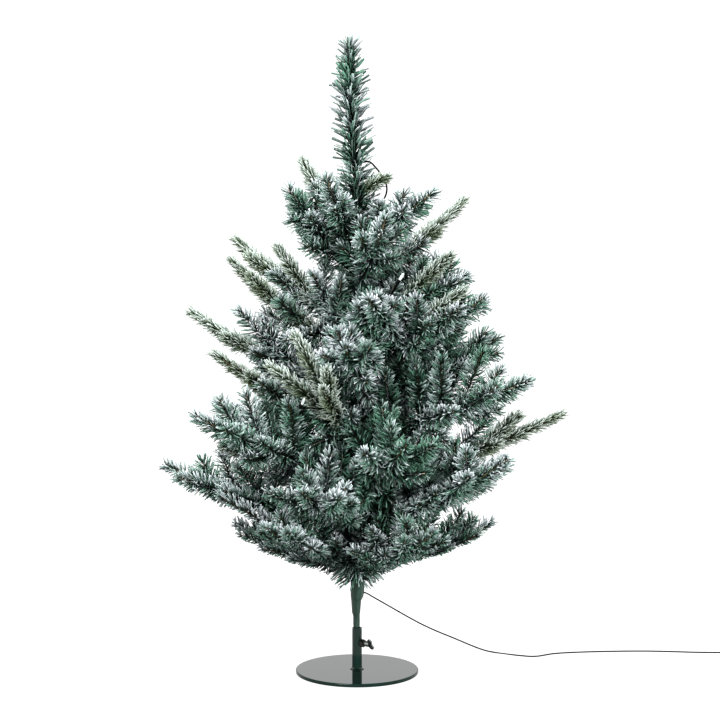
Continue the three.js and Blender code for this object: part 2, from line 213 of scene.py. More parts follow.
# Branches whose outer part is moulded, with the share of their length that their twig pairs keep.
# The outer pair is moulded too, unless it has no length.
MOULDED_BRANCHES = {
    "3a": (0.8, 0.4), "4d": (0.8, 0.4), "4e": (0.6, 0.0), "5a": (0.6, 0.45), "6a": (0.6, 0.6),
    "7c": (0.6, 0.6), "8a": (0.5, 0.3), "9b": (0.5,),
}
# Branches with more or less frost than most.
FROST_BY_BRANCH = {"9b": 0.85, "8c": 0.7, "4c": 0.6, "2a": 0.4, "3e": 0.25, "5c": 0.35}
FROST = 0.5
RAISED_FROST = 0.8
INNER_FROST = 0.4
# How far chance moves the frost of a branch, of its paired twigs and of its free twigs.
BRANCH_FROST_CHANCE = (-0.15, 0.15)
PAIR_FROST_CHANCE = (-0.45, 0.3)
TWIG_FROST_CHANCE = (-0.5, 0.35)
# How much neighbouring needles differ in frost.
FROST_SCATTER = 0.2
# How much the frost comes and goes along a twig and around it, and how much more its tip has.
FROST_CLUMPS = 0.22
FROST_SIDES = 0.12
FROST_AT_TIP = 0.1
# Share of a needle's frost at its root and at its tip. Its middle has the style's patch.
ROOT_FROST = 0.3
TIP_FROST = 1.1
# Frost halfway up a needle's section, and how much more its upper edge has, as frost and painted
# highlight.
FROST_MIDWAY = 0.85
FROST_AND_HIGHLIGHT_ON_TOP = 0.9

# ---- trunk and leader ----
LEADER = dict(
    FILM, bands=("teal", "deep", "deep"), density=1400, lean=(70, 44), length=33 * MM, width=3.0 * MM,
    taper=0.6)
LEADER_CLOSE = dict(LEADER, bands=("teal", "deep"), lean=(36, 24), length=27 * MM, width=2.3 * MM)
LEADER_MOULDED = dict(MOULDED, length=15 * MM)
# The trunk's needles keep the inner needles' darkest band: painted shade for the tree's core.
TRUNK = dict(SHADED_INNER, wire=6.5 * MM, length=32 * MM, density=5500)
SKIRT = dict(TRUNK, wire=8.5 * MM, length=27 * MM, bands=("teal", "deep"))
FOOT = dict(SKIRT, length=42 * MM, width=1.9 * MM, density=4500, bands=("teal",))
TRUNK_HEIGHTS = (0.135, 0.4)
SKIRT_HEIGHTS = (0.162, 0.134)
FOOT_HEIGHTS = (0.21, 0.15)
TRUNK_FROST = 0.25
SKIRT_FROST = 0.3
FOOT_FROST = 0.4
LEADER_FROST = 0.42
LEADER_TIP_FROST = 0.2
# The small moulded tip at the leader's foot, from its root to its end.
LEADER_TIP = (np.array((0.008, -0.012, 0.684)), np.array((0.043, -0.026, 0.701)))
# Height, sideways offset and radius of the wound film, up to where the needles hide it.
WRAP_PROFILE = np.array([
    (66, -0.9, 4.5), (81, -0.9, 4.6), (86, -1.3, 5.8), (103, -1.2, 7.0), (109, -0.1, 8.9),
    (118, 0.5, 9.7), (146, 0.4, 9.9), (160, 0.0, 6.5), (690, 0.0, 6.5),
]) * MM
WRAP_SEGMENTS = 96
WRAP_BORE = 4.0 * MM
# Turn of the folds in radians per metre, and depths of the wide and fine folds as shares of the radius.
WRAP_TWIST = 9
WRAP_FOLDS = (0.07, 0.035)

# ---- stand ----
# The plate's rounded corner, then the weld around the tube: its bore, its outer edge's height and its
# upper edge's width.
PLATE_CORNER = 1.2 * MM
WELD_BORE = 7.3 * MM
WELD_EDGE = 0.4 * MM
WELD_TOP = 0.5 * MM

# ---- light string ----
STRING_RADIUS = 0.7 * MM
CROWN_RADIUS = 1.2 * MM
STRING_GAP = 2.2 * MM
LENS_LENGTH = 11 * MM
LENS_RADIUS = 2.1 * MM
LENS_OUTLINE = np.array([0.8, 1, 1, 1, 1, 0.98, 0.9, 0.7, 0.25])
HOLDER_LENGTH = 7 * MM
HOLDER_RADIUS = 2.3 * MM
# A branch's wire: share along the stem, and its slack aside and upward in the two lengths below.
STRING_POINTS = [(0.05, 0, 0), (0.18, 0.4, 0.8), (0.3, -0.3, 1), (0.42, 0.8, 0.6), (0.5, 1.2, 1.2)]
SLACK_SIDE = 10 * MM
SLACK_UP = 9 * MM
# Lamps that hang free of the needles.
LAMP_SPOTS = {"4e": (-0.075, -0.150, 0.394), "6b": (0.0533, -0.130, 0.558)}
LIT_BRANCHES = (
    "1a", "1c", "1e", "2b", "2d", "3a", "3c", "3e", "4b",
    "4d", "4e", "5b", "5d", "6b", "6c", "7a", "7c", "8b",
)
# Slack loops of the light string that stand out from the trunk below the leader, in millimetres.
CROWN_LOOPS = [
    [(6, -3, 722), (17, -5, 723), (26, -8, 715), (35, -12, 703), (41, -14, 690),
     (40, -14, 677), (33, -10, 667), (21, -7, 662), (8, -7, 668)],
    [(-4, -7, 682), (-24, -16, 685), (-48, -18, 684), (-58, -18, 676), (-65, -18, 665),
     (-66, -14, 652), (-52, -8, 644), (-8, -7, 650)],
]


# ---- small helpers ----
def unit(vectors):
    return vectors / np.linalg.norm(vectors, axis=-1, keepdims=True)


def srgb(hex_code):
    """A colour code as linear red, green, blue and alpha."""
    channels = [int(hex_code[i:i + 2], 16) / 255 for i in (1, 3, 5)]
    linear = [c / 12.92 if c < 0.04045 else ((c + 0.055) / 1.055) ** 2.4 for c in channels]
    return (*linear, 1.0)


class Builder:
    """Collects triangles with a palette coordinate per vertex, then makes one mesh."""

    def __init__(self):
        self.points, self.triangles, self.palette = [], [], []
        self.count = 0

    def add(self, points, triangles, palette=None):
        points = np.asarray(points, float).reshape(-1, 3)
        if palette is None:
            palette = np.zeros((len(points), 2))
        self.points.append(points)
        self.triangles.append(np.asarray(triangles).reshape(-1, 3) + self.count)
        self.palette.append(palette.reshape(-1, 2))
        self.count += len(points)

    def build(self, name, material, palette=False, smooth=None):
        points = np.concatenate(self.points).astype(np.float32)
        triangles = np.concatenate(self.triangles).astype(np.int32)
        mesh = bpy.data.meshes.new(name)
        mesh.vertices.add(len(points))
        mesh.vertices.foreach_set("co", points.ravel())
        mesh.loops.add(triangles.size)
        mesh.loops.foreach_set("vertex_index", triangles.ravel())
        mesh.polygons.add(len(triangles))
        mesh.polygons.foreach_set("loop_start", np.arange(0, triangles.size, 3, dtype=np.int32))
        mesh.update(calc_edges=True)
        if palette:
            layer = mesh.uv_layers.new(name=UV_NAME)
            spots = np.concatenate(self.palette).astype(np.float32)
            layer.data.foreach_set("uv", spots[triangles.ravel()].ravel())
        if smooth is not None:
            mesh.shade_smooth()
            mesh.set_sharp_from_angle(angle=math.radians(smooth))
        mesh.materials.append(material)
        piece = bpy.data.objects.new(name, mesh)
        bpy.context.scene.collection.objects.link(piece)
        return piece


def palette_point(band, along, frost):
    """Where a needle's colour sits in the palette: frost across, band and length upward."""
    across = 0.02 + 0.96 * np.clip(frost, 0, 1)
    room = BAND_HEIGHT - 2 * BAND_MARGIN
    up = band * BAND_HEIGHT + BAND_MARGIN + room * np.clip(along, 0, 1)
    return np.stack(np.broadcast_arrays(across, up), axis=-1)


def grid_triangles(rows, columns, closed=True):
    """Triangles of a grid of rows of points, each row joined round to its own start if closed."""
    index = np.arange(columns if closed else columns - 1)
    following = (index + 1) % columns
    parts = []
    for k in range(rows - 1):
        near, far = k * columns, (k + 1) * columns
        parts.append(np.stack([near + index, near + following, far + following], -1))
        parts.append(np.stack([near + index, far + following, far + index], -1))
    return np.concatenate(parts)


def capped_rings(builder, rings, palette=None):
    """A closed solid through rings of points, with both ends closed."""
    rings = np.asarray(rings)
    rows, columns = rings.shape[:2]
    last = (rows - 1) * columns
    fan = np.arange(1, columns - 1)
    caps = [
        np.stack([np.zeros_like(fan), fan + 1, fan], -1),
        np.stack([last + np.zeros_like(fan), last + fan, last + fan + 1], -1),
    ]
    builder.add(rings, np.concatenate([grid_triangles(rows, columns), *caps]), palette)


def tube(builder, path, radii, sides, band="wire", frost=0.0):
    """A closed round tube along a path, added to a builder."""
    path = np.asarray(path, float)
    radii = np.broadcast_to(radii, len(path))
    tangents = unit(np.gradient(path, axis=0))
    upright = abs(tangents[0, 2]) >= 0.8
    reference = np.array([0.95, 0.2, 0.1] if upright else [0.31, 0.17, 0.93])
    normal = reference - tangents[0] * (reference @ tangents[0])
    angles = np.linspace(0, 2 * math.pi, sides, endpoint=False)
    rings = []
    for point, tangent, radius in zip(path, tangents, radii):
        normal = unit(normal - tangent * (normal @ tangent))
        side = np.cross(tangent, normal)
        ring = np.outer(np.cos(angles), normal) + np.outer(np.sin(angles), side)
        rings.append(point + radius * ring)
    along = np.repeat(np.linspace(0, 1, len(path)), sides)
    capped_rings(builder, rings, palette_point(BANDS[band], along, np.full(len(along), frost)))


def lathe(builder, profile, segments):
    """A closed solid turned about +Z.

    Its profile of (radius, height) starts and ends on the axis, or else closes on itself.
    """
    profile = np.asarray(profile, float)
    angles = np.linspace(0, 2 * math.pi, segments, endpoint=False)
    circle = np.stack([np.cos(angles), np.sin(angles)], -1)
    rings = [np.column_stack([r * circle, np.full(segments, z)]) for r, z in profile]
    if profile[0, 0] < 1e-6:
        capped_rings(builder, rings[1:-1])
        return
    rings.append(rings[0])
    builder.add(np.array(rings), grid_triangles(len(rings), segments))


def smooth_path(points, steps):
    """A Catmull-Rom curve through points, as an array of evenly parametrised points."""
    points = np.asarray(points, float)
    padded = np.vstack([2 * points[0] - points[1], points, 2 * points[-1] - points[-2]])
    t = np.linspace(0, len(points) - 1 - 1e-9, steps)
    i = t.astype(int)
    f = (t - i)[:, None]
    a, b, c, d = (padded[i + k] for k in range(4))
    square = 2 * a - 5 * b + 4 * c - d
    cube = 3 * b - a - 3 * c + d
    return 0.5 * (2 * b + (c - a) * f + square * f**2 + cube * f**3)


def reach_along(path):
    """Distance along a line from its start to each of its points."""
    steps = np.linalg.norm(np.diff(path, axis=0), axis=1)
    return np.concatenate([[0], np.cumsum(steps)])


def values_at(wanted, reach, values):
    """Values given at each point of a line, read off at wanted distances along it."""
    return np.stack([np.interp(wanted, reach, values[:, k]) for k in range(3)], -1)


def resample(path, count):
    """The same line with evenly spaced points."""
    reach = reach_along(path)
    return values_at(np.linspace(0, reach[-1], count), reach, path)


def polar(radius, azimuth, z):
    a = math.radians(azimuth)
    return (radius * math.cos(a), radius * math.sin(a), z)


def heading(azimuth, elevation):
    """A unit direction from its angles in degrees."""
    a, e = math.radians(azimuth), math.radians(elevation)
    return np.array([math.cos(a) * math.cos(e), math.sin(a) * math.cos(e), math.sin(e)])


# ---- materials ----
def principled(name, color, roughness, metallic=0.0, coat=0.0, ior=1.5, specular=0.5, transmission=0.0):
    material = bpy.data.materials.new(name)
    material.use_nodes = True
    shader = material.node_tree.nodes["Principled BSDF"]
    shader.inputs["Base Color"].default_value = srgb(color)
    shader.inputs["Roughness"].default_value = roughness
    shader.inputs["Metallic"].default_value = metallic
    shader.inputs["Coat Weight"].default_value = coat
    shader.inputs["IOR"].default_value = ior
    shader.inputs["Specular IOR Level"].default_value = specular
    shader.inputs["Transmission Weight"].default_value = transmission
    return material


def ramp_node(tree, stops):
    """A colour ramp through (position, colour code) stops."""
    node = tree.nodes.new("ShaderNodeValToRGB")
    elements = node.color_ramp.elements
    elements[0].position, elements[0].color = stops[0][0], srgb(stops[0][1])
    elements[1].position, elements[1].color = stops[-1][0], srgb(stops[-1][1])
    for position, color in stops[1:-1]:
        elements.new(position).color = srgb(color)
    return node


def noise_node(tree, scale, stretch, detail):
    """Noise over the object's own coordinates, stretched along an axis by a scale below 1."""
    place = tree.nodes.new("ShaderNodeTexCoord")
    mapping = tree.nodes.new("ShaderNodeMapping")
    mapping.inputs["Scale"].default_value = stretch
    noise = tree.nodes.new("ShaderNodeTexNoise")
    noise.inputs["Scale"].default_value = scale
    noise.inputs["Detail"].default_value = detail
    tree.links.new(place.outputs["Object"], mapping.inputs["Vector"])
    tree.links.new(mapping.outputs["Vector"], noise.inputs["Vector"])
    return noise


def mottled(material, colors, scale, stretch, grain):
    """Varies a material's colour between two codes, and adds a fine grain to its surface."""
    tree = material.node_tree
    shader = tree.nodes["Principled BSDF"]
    tint = ramp_node(tree, [(0.32, colors[0]), (0.68, colors[1])])
    tree.links.new(noise_node(tree, scale, stretch, 4).outputs["Fac"], tint.inputs["Fac"])
    tree.links.new(tint.outputs["Color"], shader.inputs["Base Color"])
    if grain:
        bump = tree.nodes.new("ShaderNodeBump")
        bump.inputs["Strength"].default_value = grain
        bump.inputs["Distance"].default_value = GRAIN_DEPTH
        tree.links.new(noise_node(tree, GRAIN_SCALE, stretch, 3).outputs["Fac"], bump.inputs["Height"])
        tree.links.new(bump.outputs["Normal"], shader.inputs["Normal"])
    return material


def finish(name, color, roughness, tints, scale, stretch=(1, 1, 1), grain=0.0, **looks):
    """A material mottled between two tints, with its other looks as principled() takes them."""
    return mottled(principled(name, color, roughness, **looks), tints, scale, stretch, grain)


def band_stops(*colors):
    """Colours of each band at its root, partway up and at its tip, as ramp stops; dark roots are painted
    shade.
    """
    stops = []
    for band, (root, partway, share, tip) in enumerate(colors):
        low, high = band * BAND_HEIGHT + BAND_MARGIN, (band + 1) * BAND_HEIGHT - BAND_MARGIN
        stops += [(low, root), (low + share * (high - low), partway), (high, tip)]
    return stops


def needle_material():
    """Needle colour by band and length, dark at the roots as painted shade, frost mixed in by the
    palette's first axis.
    """
    material = principled("needle_plastic", "#3f6f62", 0.5, specular=0.12)
    tree = material.node_tree
    shader = tree.nodes["Principled BSDF"]
    palette = tree.nodes.new("ShaderNodeUVMap")
    palette.uv_map = UV_NAME
    split = tree.nodes.new("ShaderNodeSeparateXYZ")
    tree.links.new(palette.outputs["UV"], split.inputs[0])
    # Each band runs from a dark root to a lighter tip: the dark roots are painted shade near the wire.
    plastic = ramp_node(tree, band_stops(
        ("#192b22", "#436756", 0.4, "#537866"), ("#08100c", "#1f382c", 0.5, "#2c4a3c"),
        ("#364227", "#4f5b42", 0.45, "#616d57"), ("#0a0f0a", "#24251b", 0.6, "#4b4430")))
    frosted = ramp_node(tree, band_stops(
        ("#444c4a", "#a2a7ab", 0.5, "#c2c5ca"), ("#333b39", "#94999d", 0.5, "#b4b8bd"),
        ("#4f5c48", "#939f99", 0.5, "#b9c2bf"), ("#4e5154", "#7f858b", 0.6, "#85806f")))
    mix = tree.nodes.new("ShaderNodeMix")
    mix.data_type = "RGBA"
    tree.links.new(split.outputs["Y"], plastic.inputs["Fac"])
    tree.links.new(split.outputs["Y"], frosted.inputs["Fac"])
    tree.links.new(split.outputs["X"], mix.inputs["Factor"])
    tree.links.new(plastic.outputs["Color"], mix.inputs["A"])
    tree.links.new(frosted.outputs["Color"], mix.inputs["B"])
    tree.links.new(mix.outputs["Result"], shader.inputs["Base Color"])
    return material


NEEDLES = needle_material()
STAND_PAINT = finish("stand_paint", "#06180f", 0.06, ("#051510", "#081c16"), 30, ior=1.8)
# The rim's paint is a copy of the plate's paint that reflects less: painted shade on the rim.
SHADED_RIM_PAINT = finish("shaded_rim_paint", "#06201b", 0.2, ("#051a16", "#0a241f"), 60, specular=0.25)
TUBE_PAINT = finish(
    "tube_paint", "#081f1a", 0.14, ("#061914", "#0b241e"), 60, (1, 1, 0.3), grain=0.05, specular=0.4)
BLACK_STEEL = finish("black_steel", "#151817", 0.4, ("#0d0f0e", "#20241f"), 220, grain=0.2, metallic=0.4)
ZINC = finish("zinc_steel", "#9aa09e", 0.3, ("#7d8381", "#a9aeac"), 300, grain=0.08, metallic=1.0)
DARK_PLASTIC = finish("dark_plastic", "#171c1a", 0.45, ("#141917", "#1b211f"), 90, grain=0.15)
# Lengthwise streaks of darker and lighter film: painted shade of its folds.
WRAP_FILM_FOLD_SHADE = finish(
    "wrap_film", "#1d362d", 0.36, ("#111c17", "#31463d"), 130, (1, 1, 0.05), grain=0.12, specular=0.25)
WIRE_GREEN = finish("wire_insulation", "#050706", 0.6, ("#030404", "#070a09"), 150, specular=0.05)
LAMP_LENS = finish(
    "lamp_lens", "#eef3f4", 0.1, ("#e6edf0", "#f6f8f8"), 500, grain=0.05, coat=0.5, transmission=0.6)
POLE_STEEL = finish("pole_steel", "#23332d", 0.4, ("#1c2a25", "#2a3c35"), 120, metallic=0.5)
SWITCH_GREY = finish("switch_plastic", "#5b605d", 0.5, ("#565b58", "#606562"), 150, grain=0.1)
CELL_JACKET = finish("cell_jacket", "#77808a", 0.35, ("#6c747e", "#828b95"), 40, metallic=0.6)
CONTACT_STEEL = finish("contact_steel", "#b9bcbc", 0.25, ("#a8abab", "#c6c9c9"), 200, metallic=1.0)
LAMINATE = finish("circuit_board", "#3c5a34", 0.6, ("#34502d", "#44643b"), 400)


# ---- camera, and the lead that leaves its view ----
def camera():
    data = bpy.data.cameras.new("camera")
    data.lens = CAMERA_LENS
    data.sensor_width = CAMERA_SENSOR
    eye = bpy.data.objects.new("camera", data)
    bpy.context.scene.collection.objects.link(eye)
    eye.location = CAMERA_AT
    eye.rotation_euler = (math.pi / 2 - CAMERA_DOWN, 0, 0)
    bpy.context.scene.camera = eye


def coil_points():
    """Turns that wind inward along the floor, step up, and wind outward on top of themselves."""
    share = np.linspace(0, 1, int(COIL_TURNS * 16))
    angle = -math.pi / 2 + 2 * math.pi * COIL_TURNS * share
    outer, inner = COIL_RADII
    radius = inner + (outer - inner) * np.abs(1 - 2 * share)
    rise = np.clip((share - 0.46) / 0.08, 0, 1)
    z = COIL_LAYERS[0] + (COIL_LAYERS[1] - COIL_LAYERS[0]) * rise
    return np.stack([COIL_AT[0] + radius * np.cos(angle), COIL_AT[1] + radius * np.sin(angle), z], -1)


def lead_route(exits):
    """The whole centreline: from the trunk over the floor, round the coil, into the battery box."""
    turns = coil_points()
    low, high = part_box("battery_case")
    end_x, end_y = (low.x + high.x) / 2, low.y - 0.4 * MM
    x, y = turns[-1][:2]
    tail = [(x + (end_x - x) * share, y + (end_y - y) * share, z) for share, z in COIL_TAIL]
    return smooth_path(np.vstack([exits, LEAD_POINTS, turns[1:], tail]), LEAD_STEPS)


def lead():
    exits = [polar(radius, LEAD_EXIT_AZIMUTH, LEAD_EXIT_HEIGHT) for radius in LEAD_EXIT_RADII]
    route = lead_route(exits)
    builder = Builder()
    tube(builder, route, LEAD_DIAMETER / 2, 10)
    piece = builder.build("lead", WIRE_GREEN, smooth=50)
    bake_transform(piece)
    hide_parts("lead_cord", "lead_coil")


camera()
lead()


# ---- needles on a twig ----
def needle_solids(builder, root, middle, tip, width, thick, blunt, spin, band, frost, patch):
    """One closed three-sided blade per needle, bent at its middle, with its frost patchy there."""
    forward = unit(tip - root)
    helper = np.where(np.abs(forward[:, 2:]) < 0.9, [[0.0, 0.0, 1.0]], [[1.0, 0.0, 0.0]])
    flat = unit(np.cross(forward, helper))
    face = np.cross(forward, flat)
    cos, sin = np.cos(spin)[:, None], np.sin(spin)[:, None]
    wide, deep = cos * flat + sin * face, cos * face - sin * flat
    rings, cover = [], []
    stations = ((root, ROOT_WIDTH, ROOT_FROST), (middle, 1.0, patch), (tip, blunt, TIP_FROST))
    for centre, scale, share in stations:
        across = RING[None, :, :1] * (width * scale)[:, None, None] * wide[:, None, :]
        upward = RING[None, :, 1:] * thick * scale * deep[:, None, :]
        rings.append(centre[:, None, :] + across + upward)
        # The upper edge gets more frost: partly frost on top, partly a painted highlight.
        height = (across + upward)[:, :, 2] / width[:, None]
        cover.append((frost * share)[:, None] * (FROST_MIDWAY + FROST_AND_HIGHLIGHT_ON_TOP * height))
    starts = 9 * np.arange(len(root))[:, None, None]
    along = np.repeat([0.0, 0.5, 1.0], 3)[None, :]
    palette = palette_point(band[:, None], along, np.concatenate(cover, axis=1))
    builder.add(np.concatenate(rings, axis=1), NEEDLE_TRIANGLES[None] + starts, palette)


def frost_cover(rng, frost, share, outward, around):
    """Frost of each needle: thicker on top, in clumps along the twig and at its tip."""
    clumps = FROST_CLUMPS * np.sin(share * 11 + rng.random() * 6)
    sides = FROST_SIDES * np.sin(around + rng.random() * 6)
    above = 0.7 + 0.6 * np.clip(outward[:, 2] + 0.1, -0.6, 1)
    cover = frost * above + (clumps + sides) + FROST_AT_TIP * (share > 0.85)
    return np.clip(cover + rng.normal(0, FROST_SCATTER, len(share)), 0, 1)


def around_wire(tangent, around):
    """Directions square to the wire, at angles around it."""
    helper = np.where(np.abs(tangent[:, 2:]) < 0.9, [[0.0, 0.0, 1.0]], [[1.0, 0.0, 0.0]])
    upward = unit(helper - tangent * np.sum(helper * tangent, axis=1, keepdims=True))
    sideways = np.cross(tangent, upward)
    return np.cos(around)[:, None] * upward + np.sin(around)[:, None] * sideways


def needle_lines(style, share, centre, tangent, outward, rng):
    """Root, middle and tip of each needle, which leans towards the twig's tip and bends a little."""
    count = len(share)
    start, end = (math.radians(a) for a in style["lean"])
    lean = np.interp(share, [0, 0.7, 1], [start, 0.6 * start + 0.4 * end, end])
    lean = (lean + rng.normal(0, LEAN_CHANCE, count))[:, None]
    below = np.clip(-outward[:, 2], 0, 1)
    long = style["length"] * np.interp(share, [0, 0.15, 0.6, 1], [0.8, 1.0, 1.0, style["taper"]])
    long = (long * rng.uniform(*LENGTH_CHANCE, count) * (1 - (1 - style["under"]) * below))[:, None]
    bend = style["bend"]
    first = np.cos(lean + bend) * tangent + np.sin(lean + bend) * outward
    second = np.cos(lean - bend) * tangent + np.sin(lean - bend) * outward
    second = unit(second + rng.normal(0, BEND_CHANCE, (count, 3)))
    root = centre + outward * style["wire"] * 0.7
    middle = root + first * long * 0.5
    tip = middle + second * long * 0.5
    return root, middle, tip


def brush(builder, path, style, frost, rng, wire=True):
    """Needles all around a twig's wire, and the wire itself."""
    reach = reach_along(path)
    count = max(FEWEST_NEEDLES, int(style["density"] * reach[-1]))
    share = np.sort((np.arange(count) + rng.random(count)) / count)
    centre = values_at(share * reach[-1], reach, path)
    tangent = unit(values_at(share * reach[-1], reach, unit(np.gradient(path, axis=0))))
    around = np.arange(count) * GOLDEN_ANGLE + rng.normal(0, AROUND_CHANCE, count) + rng.random() * 6
    outward = around_wire(tangent, around)
    line = needle_lines(style, share, centre, tangent, outward, rng)
    cover = frost_cover(rng, frost + style["extra_frost"], share, outward, around)
    bands = np.array([BANDS[b] for b in style["bands"]])[rng.integers(0, len(style["bands"]), count)]
    width = style["width"] * rng.uniform(*WIDTH_CHANCE, count) * (1 + FROST_WIDTH * cover)
    spin = rng.uniform(0, math.pi, count)
    patch = rng.uniform(*style["patch"], count)
    needle_solids(builder, *line, width, style["thick"], style["blunt"], spin, bands, cover, patch)
    if wire:
        tube(builder, resample(path, 8), style["wire"], 5, style["stem"], max(0.0, rng.normal(0.25, 0.3)))


# ---- branches ----
class Branch:
    """A branch's curved sheet: its wire's arc, and the direction to its sides."""

    def __init__(self, joint):
        self.name = joint["child"]
        self.key = self.name.split("_")[1]
        self.tier = self.key[0]
        self.root = np.array(joint["pos_m"])
        axis = np.array(joint["axis"])
        self.outward = np.cross([0.0, 0.0, 1.0], axis)
        self.side = -axis
        corners = np.array([v.co for v in NODES[self.name].data.vertices]) - self.root
        tip = corners[np.argmax(np.linalg.norm(corners, axis=1))]
        reach, rise = tip @ self.outward, tip[2]
        self.length = math.hypot(reach, rise) * (BEND / 2) / math.sin(BEND / 2)
        self.start = math.atan2(rise, reach) - BEND / 2
        self.short = self.length < SHORT_BRANCH

    def direction(self, share):
        """The stem's direction at a share of its length."""
        angle = self.start + BEND * share
        return math.cos(angle) * self.outward + math.sin(angle) * np.array([0, 0, 1])

    def point(self, along, lateral=0.0):
        """Points of the sheet, at distances along the stem and to its side."""
        along = np.atleast_1d(np.asarray(along, float))
        angle = self.start + BEND * along / self.length
        radius = self.length / BEND
        out = radius * (np.sin(angle) - math.sin(self.start))
        up = radius * (math.cos(self.start) - np.cos(angle))
        lateral = np.broadcast_to(lateral, along.shape)
        stem = self.root + np.outer(out, self.outward) + np.outer(up, [0, 0, 1])
        return stem + np.outer(lateral, self.side)

    def stretch(self, start, end, steps):
        """The stem's wire between two shares of its length."""
        return self.point(np.linspace(start, end, steps) * self.length)

    def twig_length(self):
        return min(TWIG_LONGEST, TWIG_SHARE * self.length)

    def side_twig(self, start, side, part, sway):
        """A twig in the sheet, to the side of +1 or -1, of which a part is kept."""
        share = np.linspace(0, part, TWIG_STEPS)
        along = start * self.length + share * self.twig_length() * math.cos(SPREAD)
        path = self.point(along, side * share * self.twig_length() * math.sin(SPREAD))
        return path + self.twig_length() * np.outer(share**2, sway)

    def free_twig(self, start, side_turn, up_turn, length, sway):
        """A twig that leaves the sheet, turned sideways and upward from the stem."""
        base = self.point(start * self.length)[0]
        forward = self.direction(start)
        normal = np.cross(forward, self.side)
        direction = unit(
            forward * math.cos(side_turn) * math.cos(up_turn)
            + self.side * math.sin(side_turn) * math.cos(up_turn)
            + normal * math.sin(up_turn))
        share = np.linspace(0, 1, TWIG_STEPS)[:, None]
        return base + length * (share * direction + share**2 * (sway + [0, 0, TWIG_LIFT]))


def stem_foliage(builder, branch, inner, outer, inner_end, frost, rng):
    """The stem's wire, with dark inner needles as painted shade near its root and outer needles over the
    rest.
    """
    inner_path = branch.stretch(0.04, inner_end, TWIG_STEPS)
    brush(builder, inner_path, inner, frost * INNER_FROST, rng, wire=False)
    tube(builder, branch.stretch(0, 0.9, 10), STEM_RADIUS, 6, "wire", 0.1)
    brush(builder, branch.stretch(inner_end, 0.965, 12), outer, frost, rng)


def paired_twigs(builder, branch, starts, film, scale, frost, rng):
    """Pairs of twigs in the branch's sheet. The outer pair of a moulded branch is moulded."""
    kept = MOULDED_BRANCHES.get(branch.key)
    for i, start in enumerate(starts):
        style = MOULDED if kept and i else film
        share = kept[i] if kept else scale
        if not share:
            continue
        for side in (-1, 1):
            sway = rng.normal(0, PAIR_SWAY, 3)
            path = branch.side_twig(start + PAIR_STAGGER * side, side, share, sway)
            brush(builder, path, style, frost + rng.uniform(*PAIR_FROST_CHANCE), rng)


def free_twigs(builder, branch, film, scale, frost, rng):
    """Single twigs that leave the sheet, further apart on the branches at the front."""
    opening = 1 + FRONT_OPENING * max(0.0, -branch.outward[1])
    lowest = LOWEST_TURN.get(branch.tier, -90)
    for start, side_turn, up_turn, share in SHORT_PLAN if branch.short else LONG_PLAN:
        if branch.key in MOULDED_BRANCHES and start > OUTER_START:
            continue
        side_turn = math.radians(side_turn * opening + rng.uniform(-SIDE_CHANCE, SIDE_CHANCE))
        up_turn = math.radians(max(up_turn * opening + rng.uniform(-UP_CHANCE, UP_CHANCE), lowest))
        length = branch.twig_length() * share * scale
        path = branch.free_twig(start, side_turn, up_turn, length, rng.normal(0, TWIG_SWAY, 3))
        brush(builder, path, film, frost + rng.uniform(*TWIG_FROST_CHANCE), rng)


def raised_twigs(builder, branch, film, rng):
    """Twigs and moulded tips that were bent up by hand."""
    for raised, style in ((RAISED_TWIGS, film), (RAISED_TIPS, MOULDED)):
        for start, azimuth, elevation, length in raised.get(branch.key, []):
            base = branch.point(start * branch.length)[0]
            tip = base + length * heading(azimuth, elevation)
            brush(builder, np.linspace(base, tip, TWIG_STEPS), style, RAISED_FROST, rng)


def branch_foliage(branch, rng):
    """All needles and twig wires of one branch, as one mesh."""
    builder = Builder()
    frost = FROST_BY_BRANCH.get(branch.key, FROST + rng.uniform(*BRANCH_FROST_CHANCE))
    under = UNDER_NEEDLES.get(branch.tier, 1.0)
    film, inner = dict(FILM, under=under), dict(SHADED_INNER, under=under)
    moulded = branch.key in MOULDED_BRANCHES
    outer = MOULDED if moulded else film
    scale = TWIG_SCALE.get(branch.key, 1.0)
    starts = SHORT_START if branch.short else PAIR_STARTS
    inner_end = 0.24 if moulded else starts[0] + 0.1
    stem_foliage(builder, branch, inner, outer, inner_end, frost, rng)
    paired_twigs(builder, branch, starts, film, scale, frost, rng)
    free_twigs(builder, branch, film, scale, frost, rng)
    raised_twigs(builder, branch, film, rng)
    piece = builder.build(f"foliage_{branch.key}", NEEDLES, palette=True)
    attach(piece, branch.name)
    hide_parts(branch.name)


branches = {}
for order, joint in enumerate(j for j in frame["joints"] if j["name"].endswith("_fold")):
    limb = Branch(joint)
    branches[limb.key] = limb
    branch_foliage(limb, np.random.default_rng(SEED + order))


# ---- trunk and leader ----


def leader_foliage():
    """Long needles all around the upright tip, some of them close to its wire."""
    low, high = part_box("leader")
    rng = np.random.default_rng(SEED + 100)
    builder = Builder()
    bows = [(0.001, low.z), (-0.005, low.z + 0.05), (-0.0085, low.z + 0.11), (-0.0095, high.z - 0.014)]
    path = smooth_path([(x, 0, z) for x, z in bows], 16)
    brush(builder, path, LEADER, LEADER_FROST, rng)
    brush(builder, path, LEADER_CLOSE, LEADER_FROST, rng, wire=False)
    brush(builder, np.linspace(*LEADER_TIP, 6), LEADER_MOULDED, LEADER_TIP_FROST, rng)
    piece = builder.build("foliage_leader", NEEDLES, palette=True)
    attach(piece, "trunk")
    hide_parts("leader")


def upright(heights, steps):
    """The trunk's axis between heights, in their order."""
    return smooth_path([(0, 0, z) for z in heights], steps)


